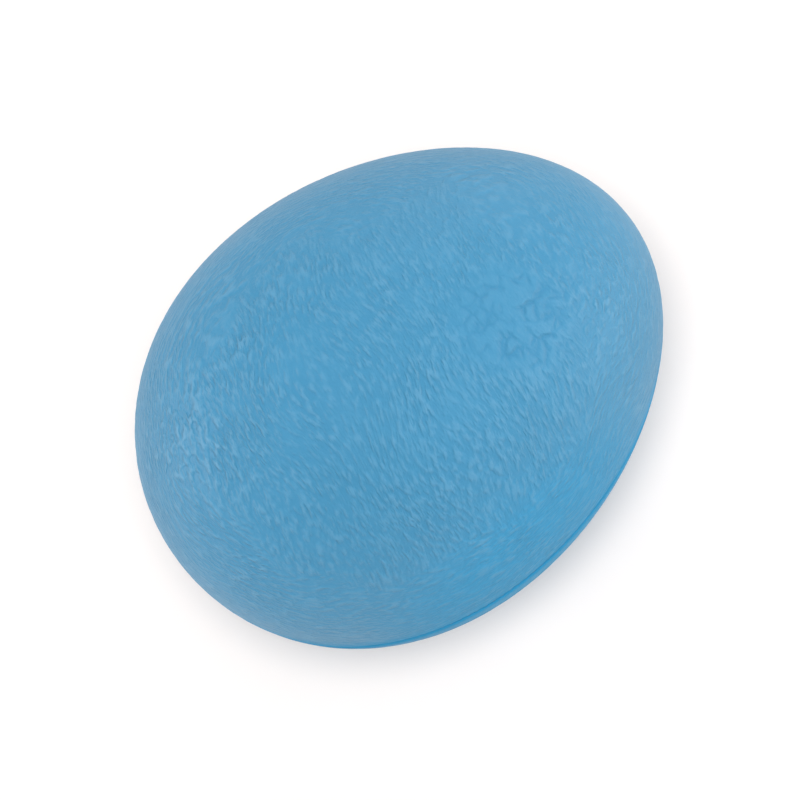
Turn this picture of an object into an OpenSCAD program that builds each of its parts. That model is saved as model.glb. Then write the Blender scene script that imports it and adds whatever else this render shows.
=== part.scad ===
// An egg-shaped squeeze toy that lies on its side: a cast gel core in a film-backed skin.
// The skin is two halves that meet at one welded seam, which runs round the egg lengthways.
// +X points to the narrow end, +Z is up, and the egg rests on z = 0. Millimetres.

/* [Egg] */
// Length from the blunt end to the narrow end
egg_length = 60; // [50:1:75]
// Greatest width across the long axis
egg_width = 48.5; // [42:0.5:60]
// Share by which the narrow end is slimmer and the blunt end fuller than an ellipse
taper = 0.09; // [0:0.01:0.14]
// Depth of the flat into which the soft egg settles on a table
rest_depth = 0.4; // [0.2:0.05:0.8]

/* [Layers] */
// Wall of the outer skin
cover_wall = 0.7; // [0.5:0.05:1.2]
// Wall of the barrier film behind the skin
liner_wall = 0.3; // [0.2:0.05:0.5]
// Clearance between one layer and the next
layer_gap = 0.05; // [0.03:0.01:0.1]

/* [Seam] */
// How far the seam runs below the long axis at the narrow end
seam_bow = 4.6; // [0:0.2:6]
// Where along the length the seam reaches the long axis, from the egg's middle
seam_crest = -6; // [-10:1:10]
// Height of the weld bead between the two skins
weld_height = 0.8; // [0.5:0.1:1.2]
// How far the bead lies under the skin's surface
weld_recess = 0.15; // [0.05:0.05:0.3]

/* [Quality] */
// Straight steps in the egg's outline from end to end
outline_steps = 40; // [24:4:80]
// Straight steps along the seam
seam_steps = 24; // [12:4:48]

/* [Hidden] */
$fn = 96;

half_length = egg_length / 2;
// Where an egg of this taper is widest, as a share of its half length
widest = taper == 0 ? 0 : (1 - sqrt(1 + 8 * taper * taper)) / (4 * taper);
// Radius in the middle that gives the stated width at the widest place
mid_radius = egg_width / 2 / (sqrt(1 - widest * widest) * (1 - taper * widest));
axis_height = egg_width / 2 - rest_depth;
// Depths of the layers under the skin's surface
liner_depth = cover_wall + layer_gap;
core_depth = liner_depth + liner_wall + layer_gap;
// Far enough out to be clear of the whole egg
reach = egg_length;

// Radius of the egg's outline at angle a, counted from the blunt end
function outline_radius(a, depth) = (mid_radius - depth) * sin(a) * (1 + taper * cos(a));

// Place along the axis at angle a, counted from the blunt end
function outline_x(a, depth) = -(half_length - depth) * cos(a);

// How far the seam lies below the long axis at x
function seam_drop(x) = seam_bow * pow((x - seam_crest) / (half_length - seam_crest), 2);

// The solid inside the egg's surface, or inside a layer that lies depth under it
module egg(depth) {
    intersection() {
        translate([0, 0, axis_height])
            rotate([0, 90, 0])
                rotate_extrude()
                    polygon([
                        for (i = [0 : outline_steps])
                            let (a = 180 * i / outline_steps)
                            [outline_radius(a, depth), outline_x(a, depth)]
                    ]);
        translate([-reach, -reach, depth])
            cube(2 * reach);
    }
}

// One layer of the wall, from the outer depth to the inner one
module layer(outer, inner) {
    difference() {
        egg(outer);
        egg(inner);
    }
}

// All the space on one side of the seam: up is 1 above it and -1 below it
module beside_seam(up, clearance) {
    rotate([90, 0, 0])
        linear_extrude(2 * reach, center = true)
            polygon([
                [reach, up * reach],
                [-reach, up * reach],
                for (i = [0 : seam_steps])
                    let (x = half_length * (2.2 * i / seam_steps - 1.1))
                    [x, axis_height - seam_drop(x) + up * clearance],
                [reach, axis_height - seam_drop(1.1 * half_length) + up * clearance]
            ]);
}

module half_layer(up, outer, inner) {
    intersection() {
        layer(outer, inner);
        beside_seam(up, weld_height / 2 + layer_gap);
    }
}

// Skin above the seam
module upper_cover() {
    color("#5e9fc4")
        half_layer(1, 0, cover_wall);
}

// Skin below the seam, with the flat that the egg rests on
module lower_cover() {
    color("#4f99c6")
        half_layer(-1, 0, cover_wall);
}

// Bead of melted skin and film that joins all four sheets
module seam_weld() {
    color("#3f86b4")
        difference() {
            layer(weld_recess, liner_depth + liner_wall);
            beside_seam(1, weld_height / 2);
            beside_seam(-1, weld_height / 2);
        }
}

// Barrier film behind the upper skin
module upper_liner() {
    color("#a9c6d8")
        half_layer(1, liner_depth, liner_depth + liner_wall);
}

// Barrier film behind the lower skin
module lower_liner() {
    color("#a9c6d8")
        half_layer(-1, liner_depth, liner_depth + liner_wall);
}

// Cast gel that fills the skin
module gel_core() {
    color("#8cc4e4")
        egg(core_depth);
}

upper_cover();
lower_cover();
seam_weld();
upper_liner();
lower_liner();
gel_core();
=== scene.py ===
"""Looks for an egg-shaped gel stress ball: a creased blue skin in two halves over films and gel.

Everything is in metres, in the row frame: +X to the egg's narrow end, +Z up, resting on z = 0.
"""

import math

import bmesh
import bpy
import numpy as np
from mathutils import Matrix, Vector

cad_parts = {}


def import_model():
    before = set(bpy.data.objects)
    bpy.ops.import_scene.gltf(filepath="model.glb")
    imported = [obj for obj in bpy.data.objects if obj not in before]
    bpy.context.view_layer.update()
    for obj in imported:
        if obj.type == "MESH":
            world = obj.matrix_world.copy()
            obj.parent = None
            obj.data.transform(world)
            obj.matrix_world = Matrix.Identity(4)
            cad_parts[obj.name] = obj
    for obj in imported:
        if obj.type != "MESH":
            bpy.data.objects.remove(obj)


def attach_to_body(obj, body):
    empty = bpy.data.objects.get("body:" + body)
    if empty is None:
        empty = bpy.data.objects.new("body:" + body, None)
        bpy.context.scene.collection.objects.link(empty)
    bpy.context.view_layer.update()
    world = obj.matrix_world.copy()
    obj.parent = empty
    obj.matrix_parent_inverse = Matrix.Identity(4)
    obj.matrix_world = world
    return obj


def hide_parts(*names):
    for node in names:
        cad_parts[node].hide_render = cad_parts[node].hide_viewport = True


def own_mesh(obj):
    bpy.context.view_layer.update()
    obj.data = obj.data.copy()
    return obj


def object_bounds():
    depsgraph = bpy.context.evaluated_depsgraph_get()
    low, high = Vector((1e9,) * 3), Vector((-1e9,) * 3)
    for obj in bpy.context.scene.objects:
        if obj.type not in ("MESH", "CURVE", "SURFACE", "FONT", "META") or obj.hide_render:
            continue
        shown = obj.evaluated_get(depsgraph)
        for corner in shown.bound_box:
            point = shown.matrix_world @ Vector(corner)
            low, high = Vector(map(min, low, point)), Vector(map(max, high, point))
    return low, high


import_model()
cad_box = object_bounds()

# ---------------------------------------------------------------- sizes

MM = 0.001
LOW, HIGH = cad_box
HALF_LENGTH = (HIGH.x - LOW.x) / 2
WIDTH = HIGH.y - LOW.y
HEIGHT = HIGH.z
AXIS_HEIGHT = HEIGHT - WIDTH / 2
TAPER = 0.09
WIDEST = (1 - math.sqrt(1 + 8 * TAPER**2)) / (4 * TAPER)
MID_RADIUS = WIDTH / 2 / (math.sqrt(1 - WIDEST**2) * (1 - TAPER * WIDEST))

COVER_WALL = 0.7 * MM
LINER_DEPTH = 0.75 * MM
LINER_WALL = 0.3 * MM
CORE_DEPTH = 1.1 * MM
SEAM_BOW = 4.6 * MM
SEAM_CREST = -6 * MM
SEAM_HALF_GAP = 0.45 * MM
WELD_HALF = 0.4 * MM
WELD_RECESS = 0.15 * MM
WELD_RIDGE = 0.1 * MM
GEL_GROOVE = 0.12 * MM
GEL_GROOVE_WIDTH = 1.2 * MM
GEL_RIPPLE = 0.02 * MM
GEL_RIPPLE_SIZE = 5 * MM
# The most that a half shell's edge is rounded at the seam, and the egg's rounding at the table.
RIM_ROUND = 0.3 * MM
REST_ROUND = 0.1 * MM

# How deep the creases are pressed.
SKIN_CREASES = 0.08 * MM
FILM_CREASES = 0.02 * MM
# The share of that depth where the skin is steep, so that its edge stays smooth.
STEEP_CREASES = 0.4

# Above (1) and below (-1) the seam: how far from the rim the skin is taut, and how far its creases
# take to reach full depth. Last, how high above the table they take.
TAUT_REACH = {1: 3 * MM, -1: 4 * MM}
CREASE_REACH = {1: 0.6 * MM, -1: 4 * MM}
REST_REACH = 0.4 * MM

# A half shell's steps across its inner face, and how many times finer its outer face is.
SHELL_STEPS = 72
COVER_FINENESS = 4
FILM_FINENESS = 2


# ---------------------------------------------------------------- the egg's surface


def seam_height(x):
    """How high the seam is at x."""
    return AXIS_HEIGHT - SEAM_BOW * ((x - SEAM_CREST) / (HALF_LENGTH - SEAM_CREST)) ** 2


def on_egg(n, depth=0.0):
    """The points under the egg's skin, by depth, that unit vectors n stand for."""
    radius = (MID_RADIUS - depth) * (1 - TAPER * n[..., 0])
    x = (HALF_LENGTH - depth) * n[..., 0]
    y = radius * n[..., 1]
    z = AXIS_HEIGHT + radius * n[..., 2] - depth
    z = depth + (z + np.sqrt(z**2 + REST_ROUND**2)) / 2
    return np.stack([x, y, z], axis=-1)


def disc(a, b):
    """A square's points, from -1 to 1, spread evenly over a disc: radius and angle."""
    flat = np.abs(a) > np.abs(b)
    r = np.where(flat, a, b)
    safe_a, safe_b = np.where(a == 0, 1, a), np.where(b == 0, 1, b)
    turn = np.where(flat, math.pi / 4 * b / safe_a, math.pi / 2 - math.pi / 4 * a / safe_b)
    return r, np.where(r == 0, 0, turn)


def rim_angle(turn, up, depth, clearance):
    """How far from the pole the seam is, for each direction round the pole."""
    sine = np.ones_like(turn)
    for _ in range(12):
        nx = sine * np.cos(turn)
        rise = seam_height((HALF_LENGTH - depth) * nx) - AXIS_HEIGHT + up * clearance
        cosine = up * rise / ((MID_RADIUS - depth) * (1 - TAPER * nx))
        sine = np.sqrt(1 - cosine**2)
    return np.arccos(cosine)


def half_directions(a, b, up, depth=0.0, clearance=0.0):
    """Unit vectors spread evenly over the half egg above (up 1) or below (up -1) the seam."""
    r, turn = disc(a, b)
    turn = np.where(r < 0, turn + math.pi, turn)
    even = np.arccos(1 - r**2)
    polar = even * rim_angle(turn, up, depth, clearance) / (math.pi / 2)
    around = np.sin(polar)
    return np.stack([around * np.cos(turn), around * np.sin(turn), up * np.cos(polar)], axis=-1)


def square_grid(steps):
    """A grid of points over a square, from -1 to 1 both ways."""
    side = np.linspace(-1, 1, steps + 1)
    return np.meshgrid(side, side, indexing="ij")


def rim_of(steps):
    """A square grid's edge points once round, as row-major indices."""
    side, row = np.arange(steps), steps + 1
    last = steps * row
    return np.concatenate([side, side * row + steps, last + steps - side, last - side * row])


def grid_faces(steps, start=0):
    """The four-sided faces of a square grid, counting its points from start."""
    row = steps + 1
    i = (np.arange(steps)[:, None] * row + np.arange(steps)).ravel() + start
    return np.stack([i, i + 1, i + row + 1, i + row], axis=-1).tolist()


# ---------------------------------------------------------------- creases


def smoothstep(low, high, x):
    """Rises smoothly from 0 to 1 as x goes from low to high."""
    t = np.clip((x - low) / (high - low), 0, 1)
    return t * t * (3 - 2 * t)


def soft_noise(points, size, seed, waves=24):
    """A smooth random value, mostly between -1 and 1, over space, in lumps of about that size."""
    rng = np.random.default_rng(seed)
    ways = rng.normal(size=(waves, 3))
    ways *= math.pi / size / np.linalg.norm(ways, axis=-1, keepdims=True)
    ways *= rng.uniform(0.6, 1.4, (waves, 1))
    phase = rng.uniform(0, 2 * math.pi, waves)
    return np.cos(points @ ways.T + phase).sum(axis=-1) / math.sqrt(waves)


def wander(points, size, reach, seed):
    """Moves points about smoothly, so that a pattern on them bends in lumps of that size."""
    moves = [soft_noise(points, size, seed + axis) for axis in range(3)]
    return points + reach * np.stack(moves, axis=-1)


def leaned(points, angle):
    """Points turned about Z, so that hoops round the egg come to lean."""
    c, s = math.cos(angle), math.sin(angle)
    x, y, z = np.moveaxis(points, -1, 0)
    return np.stack([x * c - y * s, x * s + y * c, z], axis=-1)


# Sizes along X, Y and Z of the crease patterns: in hoops round the egg's waist, in level rings
# near its rim, and in cells as broad as long.
HOOPS = np.array([0.37, 1.2, 1.2]) * MM
RINGS = np.array([1.2, 1.2, 0.37]) * MM
CELLS = np.array([1.7, 1.7, 1.7]) * MM
LEAN = math.radians(10)

# Where hands have creased the skin most, seen from above or below: x, y and size in mm, strength.
WORN = ((-18, 5, 10, 0.8), (-21, -6, 8, 0.3), (0, -4, 10, 0.4), (14, -8, 9, 0.6))
ROUND_PATCH = (12.7, -6.8, 6, 1)


def near(points, patch):
    """A patch's strength in its middle, seen from above, and less with distance from it."""
    x, y, size = (v * MM for v in patch[:3])
    away = (points[..., 0] - x) ** 2 + (points[..., 1] - y) ** 2
    return patch[3] * np.exp(-away / size**2)


def crease_facts(points, steep, taut_and_glare_side, creased, seed):
    """What the crease pattern needs at each point: its place in each kind of cell, and its strength."""
    bent = wander(points, 8 * MM, 0.8 * MM, seed)
    worn = 0.85 + 0.15 * soft_noise(points, 12 * MM, seed + 6)
    worn += np.max([near(points, patch) for patch in WORN], axis=0)
    uneven = 0.85 + 0.15 * soft_noise(points, 2.5 * MM, seed + 7)
    return {
        "place": points,
        "hoop_place": leaned(bent, LEAN) / HOOPS,
        "ring_place": bent / RINGS,
        "round_place": wander(bent, 1.4 * MM, 0.2 * MM, seed + 20) / CELLS,
        "steep": steep,
        "rounded": 0.8 * smoothstep(0.25, 0.6, near(points, ROUND_PATCH)),
        "loose_off_glare_side": 1 - taut_and_glare_side,
        "depth": np.clip(worn, 0.3, 1.8) * np.clip(uneven, 0.3, 1.4) * creased,
    }


# ---------------------------------------------------------------- meshes


def clean_up(mesh, join=None):
    """Turns a mesh's faces outwards, after joining points closer together than the given distance."""
    work = bmesh.new()
    work.from_mesh(mesh)
    if join:
        bmesh.ops.remove_doubles(work, verts=work.verts, dist=join)
    bmesh.ops.recalc_face_normals(work, faces=work.faces)
    work.to_mesh(mesh)
    work.free()


def new_piece(name, verts, faces):
    """A smooth-shaded mesh object in the scene."""
    mesh = bpy.data.meshes.new(name)
    mesh.from_pydata(verts.tolist(), [], faces)
    clean_up(mesh)
    mesh.shade_smooth()
    piece = bpy.data.objects.new(name, mesh)
    bpy.context.scene.collection.objects.link(piece)
    return piece


def store(piece, facts):
    """Keeps values or vectors with the first vertices, for node patterns. Later vertices, on the
    rim and inside, get 0: no creases, and taut."""
    count = len(piece.data.vertices)
    for name, values in facts.items():
        width = values.size // facts["depth"].size
        full = np.zeros((count, width), np.float32)
        full[: facts["depth"].size] = values.reshape(-1, width)
        kind, key = ("FLOAT_VECTOR", "vector") if width == 3 else ("FLOAT", "value")
        piece.data.attributes.new(name, kind, "POINT").data.foreach_set(key, full.ravel())


def skin_facts(n, face, up, edge, seed):
    """What the crease pattern needs to know about a half shell's outer face."""
    from_rim = up * (face[..., 2] - seam_height(face[..., 0])) - SEAM_HALF_GAP - edge
    taut_and_glare_side = 1 - smoothstep(0, TAUT_REACH[up], from_rim)
    # The -Y side joins this mask: there the skin is painted deeper blue to offset the lamps' grey glare.
    taut_and_glare_side = np.maximum(taut_and_glare_side, 0.8 * smoothstep(0.72, 0.96, -n[..., 1]))
    creased = smoothstep(0, CREASE_REACH[up], from_rim)
    creased *= smoothstep(0, REST_REACH, face[..., 2])
    level = up * n[..., 2] - 0.25 * n[..., 1] + 0.06 * soft_noise(face, 6 * MM, seed + 8)
    steep = smoothstep(0.78, 0.68, level)
    return crease_facts(face, steep, taut_and_glare_side, creased, seed)


def rounded_rim(around, up, outer, edge):
    """Loops of points that turn a half shell's outer face in, through a quarter circle, to its rim."""
    loops = []
    for angle in np.radians([22.5, 45, 67.5, 90]):
        clearance = SEAM_HALF_GAP + edge * (1 - math.sin(angle))
        depth = outer + edge * (1 - math.cos(angle))
        loops.append(on_egg(half_directions(*around, up, depth, clearance), depth))
    return loops


def rim_wall(ring, inner, fineness):
    """Faces from a fine loop to a coarse one that has a point for every few of its points."""
    faces = []
    for k in range(len(inner)):
        far = [ring[(k * fineness + m) % len(ring)] for m in range(fineness + 1)]
        faces.append([*far, inner[(k + 1) % len(inner)], inner[k]])
    return faces


def half_shell(name, up, outer, wall, fineness, seed):
    """One half of a layer of the egg's wall, with a rounded edge along the seam."""
    edge = min(RIM_ROUND, wall / 2)
    steps = fineness * SHELL_STEPS
    a, b = square_grid(steps)
    n = half_directions(a, b, up, outer, SEAM_HALF_GAP + edge)
    face = on_egg(n, outer)
    verts, faces = [face.reshape(-1, 3)], grid_faces(steps)
    ring, count = rim_of(steps), a.size
    for loop in rounded_rim((a.ravel()[ring], b.ravel()[ring]), up, outer, edge):
        verts.append(loop)
        new = np.arange(count, count + len(loop))
        faces += np.stack([ring, np.roll(ring, -1), np.roll(new, -1), new], axis=-1).tolist()
        ring, count = new, count + len(loop)
    inside = half_directions(*square_grid(SHELL_STEPS), up, outer + wall, SEAM_HALF_GAP)
    verts.append(on_egg(inside, outer + wall).reshape(-1, 3))
    faces += grid_faces(SHELL_STEPS, count)
    faces += rim_wall(ring, rim_of(SHELL_STEPS) + count, fineness)
    piece = new_piece(name, np.concatenate(verts), faces)
    store(piece, skin_facts(n, face, up, edge, seed))
    return piece


def rounded_section(points):
    """A square with round corners, from -1 to 1 both ways, as that many points round its edge."""
    turn = np.arange(points) * 2 * math.pi / points
    c, s = np.cos(turn), np.sin(turn)
    return np.sign(c) * np.abs(c) ** 0.4, np.sign(s) * np.abs(s) ** 0.4


def weld_ring(name, stations=1440, points=16, ridges=180):
    """The weld bead all round the seam, with the fine ridges of the bar that pressed it."""
    turn = np.arange(stations)[:, None] * 2 * math.pi / stations
    out, rise = rounded_section(points)
    half_deep = (LINER_DEPTH + LINER_WALL - WELD_RECESS) / 2
    valley = (1 - np.cos(turn * ridges)) / 2 * np.clip(out, 0, 1)
    depth = WELD_RECESS + half_deep * (1 - out) + WELD_RIDGE * valley
    polar = rim_angle(turn + 0 * depth, 1, depth, WELD_HALF * rise)
    around = np.sin(polar)
    n = np.stack([around * np.cos(turn), around * np.sin(turn), np.cos(polar)], axis=-1)
    a = np.arange(stations)[:, None] * points + np.arange(points)
    b = np.roll(a, -1, 0)
    c = np.roll(b, -1, 1)
    d = np.roll(a, -1, 1)
    faces = np.stack([a, b, c, d], axis=-1).reshape(-1, 4).tolist()
    return new_piece(name, on_egg(n, depth).reshape(-1, 3), faces)


def gel_mass(name, steps=120, seed=83):
    """The gel, closed all round, with a soft groove where the weld presses and a rippled cast face."""
    a, b = square_grid(steps)
    verts, faces = [], []
    for up in (1, -1):
        n = half_directions(a, b, up, CORE_DEPTH)
        smooth = on_egg(n, CORE_DEPTH)
        from_seam = (smooth[..., 2] - seam_height(smooth[..., 0])) / GEL_GROOVE_WIDTH
        ripple = GEL_RIPPLE * (1 + soft_noise(smooth, GEL_RIPPLE_SIZE, seed).clip(-1, 1))
        depth = CORE_DEPTH + GEL_GROOVE * np.exp(-(from_seam**2)) + ripple
        faces += grid_faces(steps, a.size * len(verts))
        verts.append(on_egg(n, depth).reshape(-1, 3))
    piece = new_piece(name, np.concatenate(verts), faces)
    clean_up(piece.data, join=0.001 * MM)
    return piece


# ---------------------------------------------------------------- materials


def linear(red, green, blue):
    """An sRGB colour, from 0 to 255, in linear light."""
    parts = [c / 255 for c in (red, green, blue)]
    return [c / 12.92 if c <= 0.04045 else ((c + 0.055) / 1.055) ** 2.4 for c in parts] + [1]


class Nodes:
    """A node tree, with short calls to add and link nodes."""

    def __init__(self, tree):
        self.tree = tree

    def add(self, kind, inputs=(), **settings):
        kind = kind if kind.startswith("Geometry") else "ShaderNode" + kind
        node = self.tree.nodes.new(kind)
        for key, value in settings.items():
            setattr(node, key, value)
        for key, value in dict(inputs).items():
            if isinstance(value, bpy.types.NodeSocket):
                self.tree.links.new(value, node.inputs[key])
            else:
                node.inputs[key].default_value = value
        return node

    def stored(self, name, vector=False):
        """The value or vector that a mesh keeps by that name."""
        if self.tree.type == "GEOMETRY":
            kind = "FLOAT_VECTOR" if vector else "FLOAT"
            node = self.add("GeometryNodeInputNamedAttribute", {"Name": name}, data_type=kind)
            return node.outputs["Attribute"]
        node = self.add("Attribute", attribute_name=name)
        return node.outputs["Vector" if vector else "Fac"]

    def mix(self, share, first, second, kind="FLOAT"):
        inputs = {"Factor": share, "A": first, "B": second}
        return self.add("Mix", inputs, data_type=kind).outputs["Result"]

    def math(self, operation, *values):
        return self.add("Math", dict(enumerate(values)), operation=operation).outputs[0]

    def step(self, value, low, high):
        """A value from low to high, as a smooth step from 0 to 1."""
        across = {"Value": value, "From Min": low, "From Max": high}
        return self.add("MapRange", across, interpolation_type="SMOOTHSTEP").outputs["Result"]

    def noise(self, place, scale, detail):
        """Soft noise, mostly between 0.3 and 0.7."""
        inputs = {"Vector": place, "Scale": scale, "Detail": detail, "Roughness": 0.55}
        return self.add("TexNoise", inputs).outputs["Fac"]

    def ridges(self, detail):
        """Ridges of even height, around 0, that run in hoops, or in rings where the skin is steep."""
        places = (self.stored(name, vector=True) for name in ("hoop_place", "ring_place"))
        hoops, rings = (self.noise(place, 1.0, detail) for place in places)
        noise = self.mix(self.stored("steep"), hoops, rings)
        return self.math("SUBTRACT", self.step(noise, 0.36, 0.7), 0.42)

    def cells(self, reach):
        """A little above 0 inside round cells, falling over reach to the creases between them."""
        place = self.stored("round_place", vector=True)
        inputs = {"Vector": place, "Scale": 1.0, "Randomness": 0.75}
        border = self.add("TexVoronoi", inputs, feature="DISTANCE_TO_EDGE").outputs["Distance"]
        depth = self.step(self.noise(place, 0.8, 1.0), 0.35, 0.6)
        bottom = self.math("MULTIPLY_ADD", depth, -1.0, 0.15)
        return self.mix(self.step(border, 0.0, reach), bottom, 0.15)

    def relief(self, detail, reach):
        """The skin's relief: below 0 in a crease, above 0 on top of a ridge or cell, times its depth."""
        either = self.mix(self.stored("rounded"), self.ridges(detail), self.cells(reach))
        return self.math("MULTIPLY", either, self.stored("depth"))


def emboss(piece, height):
    """Presses the creases into a piece's mesh."""
    tree = bpy.data.node_groups.new("creases", "GeometryNodeTree")
    tree.interface.new_socket("Geometry", in_out="INPUT", socket_type="NodeSocketGeometry")
    tree.interface.new_socket("Geometry", in_out="OUTPUT", socket_type="NodeSocketGeometry")
    n = Nodes(tree)
    source, result = tree.nodes.new("NodeGroupInput"), tree.nodes.new("NodeGroupOutput")
    tall = n.mix(n.stored("steep"), height, height * STEEP_CREASES)
    rise = n.math("MULTIPLY", n.relief(0.0, 0.4), tall)
    out = n.add("GeometryNodeInputNormal").outputs["Normal"]
    offset = n.add("VectorMath", {0: out, "Scale": rise}, operation="SCALE").outputs[0]
    moved = n.add("GeometryNodeSetPosition", {"Geometry": source.outputs[0], "Offset": offset})
    tree.links.new(moved.outputs[0], result.inputs[0])
    piece.modifiers.new("creases", "NODES").node_group = tree
    pressed = piece.evaluated_get(bpy.context.evaluated_depsgraph_get())
    mesh = bpy.data.meshes.new_from_object(pressed)
    piece.modifiers.clear()
    piece.data = mesh


def new_material(name):
    """A material with its nodes and its shader."""
    material = bpy.data.materials.new(name)
    material.use_nodes = True
    return material, Nodes(material.node_tree), material.node_tree.nodes["Principled BSDF"]


DARK_MOTTLE = linear(67, 141, 180)
LIGHT_MOTTLE = linear(72, 145, 184)
# Painted shade: the darker colour that the creases fall to, as if in shadow.
CREASE_SHADE_COLOUR = linear(62, 137, 177)
# Painted highlight: the lighter, whiter colour that the ridge tops rise to, like sheen.
RIDGE_HIGHLIGHT_COLOUR = linear(89, 152, 188)
# For taut skin, and painted on the -Y side: deeper blue that offsets the grey glare that the lamps leave
# there.
TAUT_AND_GLARE_OFFSET_COLOUR = linear(43, 149, 197)
TAUT_AND_GLARE_SIDE_ROUGHNESS = 0.75


def skin_material():
    """Blue skin: faintly mottled, with painted shade in its creases and painted highlights on its ridges;
    deeper blue where it is taut, and painted deeper blue on the -Y side against the lamps' grey glare.
    """
    material, n, shader = new_material("skin")
    place = n.stored("place", vector=True)
    mottle = n.add("TexNoise", {"Vector": place, "Scale": 260.0, "Detail": 4.0, "Roughness": 0.6})
    base = n.add("ValToRGB", {"Fac": mottle.outputs["Fac"]})
    dark, light = base.color_ramp.elements
    dark.position, light.position = 0.3, 0.7
    dark.color, light.color = DARK_MOTTLE, LIGHT_MOTTLE
    relief = n.relief(1.5, 0.25)
    # Deeper blue where the skin is taut, and painted deeper blue on the -Y side against the lamps' grey
    # glare.
    base = n.mix(n.stored("loose_off_glare_side"), TAUT_AND_GLARE_OFFSET_COLOUR, base.outputs["Color"], "RGBA")
    # Painted shade: darker blue down in the creases.
    creased = n.mix(n.step(relief, 0.1, -0.8), base, CREASE_SHADE_COLOUR, "RGBA")
    # Painted highlight: lighter, whiter ridge tops, like sheen from the side lamps.
    highlighted = n.mix(n.step(relief, -0.1, 0.8), creased, RIDGE_HIGHLIGHT_COLOUR, "RGBA")
    n.tree.links.new(highlighted, shader.inputs["Base Color"])
    rough = n.add("MapRange", {"Value": mottle.outputs["Fac"], "To Min": 0.42, "To Max": 0.54})
    rough = n.mix(n.stored("loose_off_glare_side"), TAUT_AND_GLARE_SIDE_ROUGHNESS, rough.outputs["Result"])
    n.tree.links.new(rough, shader.inputs["Roughness"])
    shader.inputs["Specular IOR Level"].default_value = 0.4
    grain = n.math("MULTIPLY", n.noise(place, 2600.0, 2.0), 0.8)
    height = n.math("ADD", grain, relief)
    bump = n.add("Bump", {"Height": height, "Strength": 1.0, "Distance": 0.12 * MM})
    n.tree.links.new(bump.outputs["Normal"], shader.inputs["Normal"])
    return material


def speckled(name, dark, light, rough, height, size):
    """A smooth material whose colour, gloss and surface vary a little in specks of about that size."""
    material, n, shader = new_material(name)
    place = n.add("TexCoord").outputs["Object"]
    speck = n.noise(place, 1 / size, 3.0)
    tint = n.add("MapRange", {"Value": speck, "From Min": 0.3, "From Max": 0.7})
    colour = n.mix(tint.outputs["Result"], dark, light, "RGBA")
    n.tree.links.new(colour, shader.inputs["Base Color"])
    gloss = n.add("MapRange", {"Value": speck, "To Min": rough - 0.08, "To Max": rough + 0.08})
    n.tree.links.new(gloss.outputs["Result"], shader.inputs["Roughness"])
    bump = n.add("Bump", {"Height": speck, "Strength": 1.0, "Distance": height})
    n.tree.links.new(bump.outputs["Normal"], shader.inputs["Normal"])
    return material, n, shader


def weld_material():
    """Skin and film melted together: deeper blue and satin."""
    dark, light = linear(24, 109, 154), linear(32, 121, 166)
    material, _, shader = speckled("weld", dark, light, 0.55, 0.03 * MM, 0.5 * MM)
    shader.inputs["Specular IOR Level"].default_value = 0.3
    return material


def film_material():
    """Thin milky film, with faint creases from folding."""
    dark, light = linear(150, 186, 206), linear(178, 208, 224)
    material, _, shader = speckled("film", dark, light, 0.34, 0.05 * MM, 1.4 * MM)
    shader.inputs["Transmission Weight"].default_value = 0.35
    shader.inputs["IOR"].default_value = 1.46
    return material


def gel_material():
    """Wet-looking translucent gel, with small bubbles caught in it."""
    dark, light = linear(104, 176, 216), linear(132, 200, 232)
    material, n, shader = speckled("gel", dark, light, 0.16, 0.04 * MM, 3.0 * MM)
    place = n.add("TexCoord").outputs["Object"]
    spots = n.add("TexVoronoi", {"Vector": place, "Scale": 450.0}).outputs["Distance"]
    bubble = n.add("MapRange", {"Value": spots, "From Min": 0.16, "From Max": 0.1}).outputs["Result"]
    colour = shader.inputs["Base Color"].links[0].from_socket
    lit = n.mix(n.math("MULTIPLY", bubble, 0.5), colour, linear(214, 238, 250), "RGBA")
    n.tree.links.new(lit, shader.inputs["Base Color"])
    shader.inputs["Transmission Weight"].default_value = 0.55
    shader.inputs["IOR"].default_value = 1.41
    return material


def plain_material(name, colour, roughness):
    """One colour all over, for the floor."""
    material, _, shader = new_material(name)
    shader.inputs["Base Color"].default_value = colour
    shader.inputs["Roughness"].default_value = roughness
    return material


# ---------------------------------------------------------------- pieces


def attach(piece, node, material):
    """Puts a piece in the place of its CAD node, on that node's body."""
    upper = node.startswith("upper")
    piece.data.materials.append(material)
    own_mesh(piece)
    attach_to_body(piece, "upper_half" if upper else "lower_half")
    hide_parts(node)


skin, film = skin_material(), film_material()
for half, up, seed in (("upper", 1, 11), ("lower", -1, 47)):
    cover = half_shell(half + "_cover_skin", up, 0.0, COVER_WALL, COVER_FINENESS, seed)
    emboss(cover, SKIN_CREASES)
    attach(cover, half + "_cover", skin)
    liner = half_shell(half + "_liner_film", up, LINER_DEPTH, LINER_WALL, FILM_FINENESS, seed + 100)
    emboss(liner, FILM_CREASES)
    attach(liner, half + "_liner", film)

attach(weld_ring("seam_weld_bead"), "seam_weld", weld_material())
gel = gel_mass("gel_core_mass")
attach(gel, "gel_core", gel_material())


# ---------------------------------------------------------------- floor, light and camera


def floor():
    """A white sheet, faintly lit from below, as on a light table."""
    bpy.ops.mesh.primitive_plane_add(size=2.4, location=(0, 0, 0))
    sheet = bpy.context.object
    sheet.name = "floor"
    white = plain_material("floor_white", (0.9, 0.835, 0.8, 1), 0.8)
    shader = white.node_tree.nodes["Principled BSDF"]
    shader.inputs["Emission Color"].default_value = (1, 1, 1, 1)
    shader.inputs["Emission Strength"].default_value = 0.1
    sheet.data.materials.append(white)


VIEW_TILT = math.radians(16)
VIEW_ROLL = math.radians(38)
VIEW_WIDTH = 84.8 * MM
VIEW_SHIFT = (0.5 * MM, 1.05 * MM)
LENS = 150.0
SENSOR = 36.0


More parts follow.
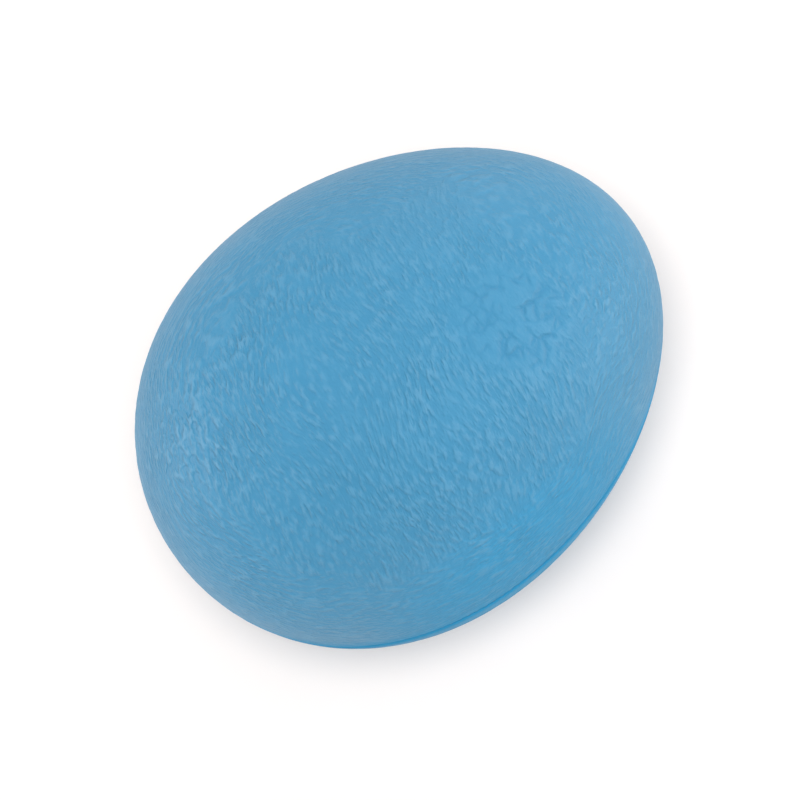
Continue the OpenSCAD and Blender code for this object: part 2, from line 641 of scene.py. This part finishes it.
def camera():
    """Looks down from 16 degrees off the vertical, rolled so that the egg points up and right."""
    data = bpy.data.cameras.new("camera")
    data.lens, data.sensor_width = LENS, SENSOR
    eye = bpy.data.objects.new("camera", data)
    bpy.context.scene.collection.objects.link(eye)
    back = Vector((0, -math.sin(VIEW_TILT), math.cos(VIEW_TILT)))
    right, up = Vector((1, 0, 0)), back.cross(Vector((1, 0, 0)))
    c, s = math.cos(VIEW_ROLL), math.sin(VIEW_ROLL)
    right, up = right * c - up * s, right * s + up * c
    turn = Matrix((right, up, back)).transposed().to_4x4()
    middle = Vector((0, 0, AXIS_HEIGHT)) - right * VIEW_SHIFT[0] - up * VIEW_SHIFT[1]
    eye.matrix_world = Matrix.Translation(middle + back * VIEW_WIDTH * LENS / SENSOR) @ turn
    bpy.context.scene.camera = eye
    return right, up, back


def soft_box(name, way, distance, size, power):
    """A round lamp, so far from the egg's middle in a direction, that faces it."""
    data = bpy.data.lights.new(name, "AREA")
    data.shape, data.size, data.energy = "DISK", size, power
    lamp = bpy.data.objects.new(name, data)
    bpy.context.scene.collection.objects.link(lamp)
    lamp.location = Vector((0, 0, AXIS_HEIGHT)) + Vector(way).normalized() * distance
    lamp.rotation_euler = Vector(way).to_track_quat("Z", "Y").to_euler()
    return lamp


def world(strength):
    """White light from all round."""
    sky = bpy.data.worlds.new("studio")
    sky.use_nodes = True
    sky.node_tree.nodes["Background"].inputs["Color"].default_value = (1, 1, 1, 1)
    sky.node_tree.nodes["Background"].inputs["Strength"].default_value = strength
    bpy.context.scene.world = sky


floor()
right, up, back = camera()
world(0.34)
key = soft_box("key", back - right * 0.06 + up * 0.06, 0.6, 0.2, 1.77)
fill = soft_box("fill", back, 0.6, 0.5, 1.0)
low = soft_box("low", right * 0.6 - up * 0.8 + back * 0.1, 0.45, 0.3, 0.25)
key.visible_glossy = fill.visible_glossy = low.visible_glossy = False
soft_box("left_side", -right + back * 0.05 - up * 0.15, 0.45, 0.25, 0.68)
soft_box("right_side", right + up * 0.1 + back * 0.05, 0.45, 0.25, 0.74)
soft_box("right_front", right + up * 0.25 + back * 0.25, 0.45, 0.4, 0.41)
soft_box("far_side", up + back * 0.25, 0.45, 0.4, 0.54)
bpy.context.scene.view_settings.view_transform = "Standard"
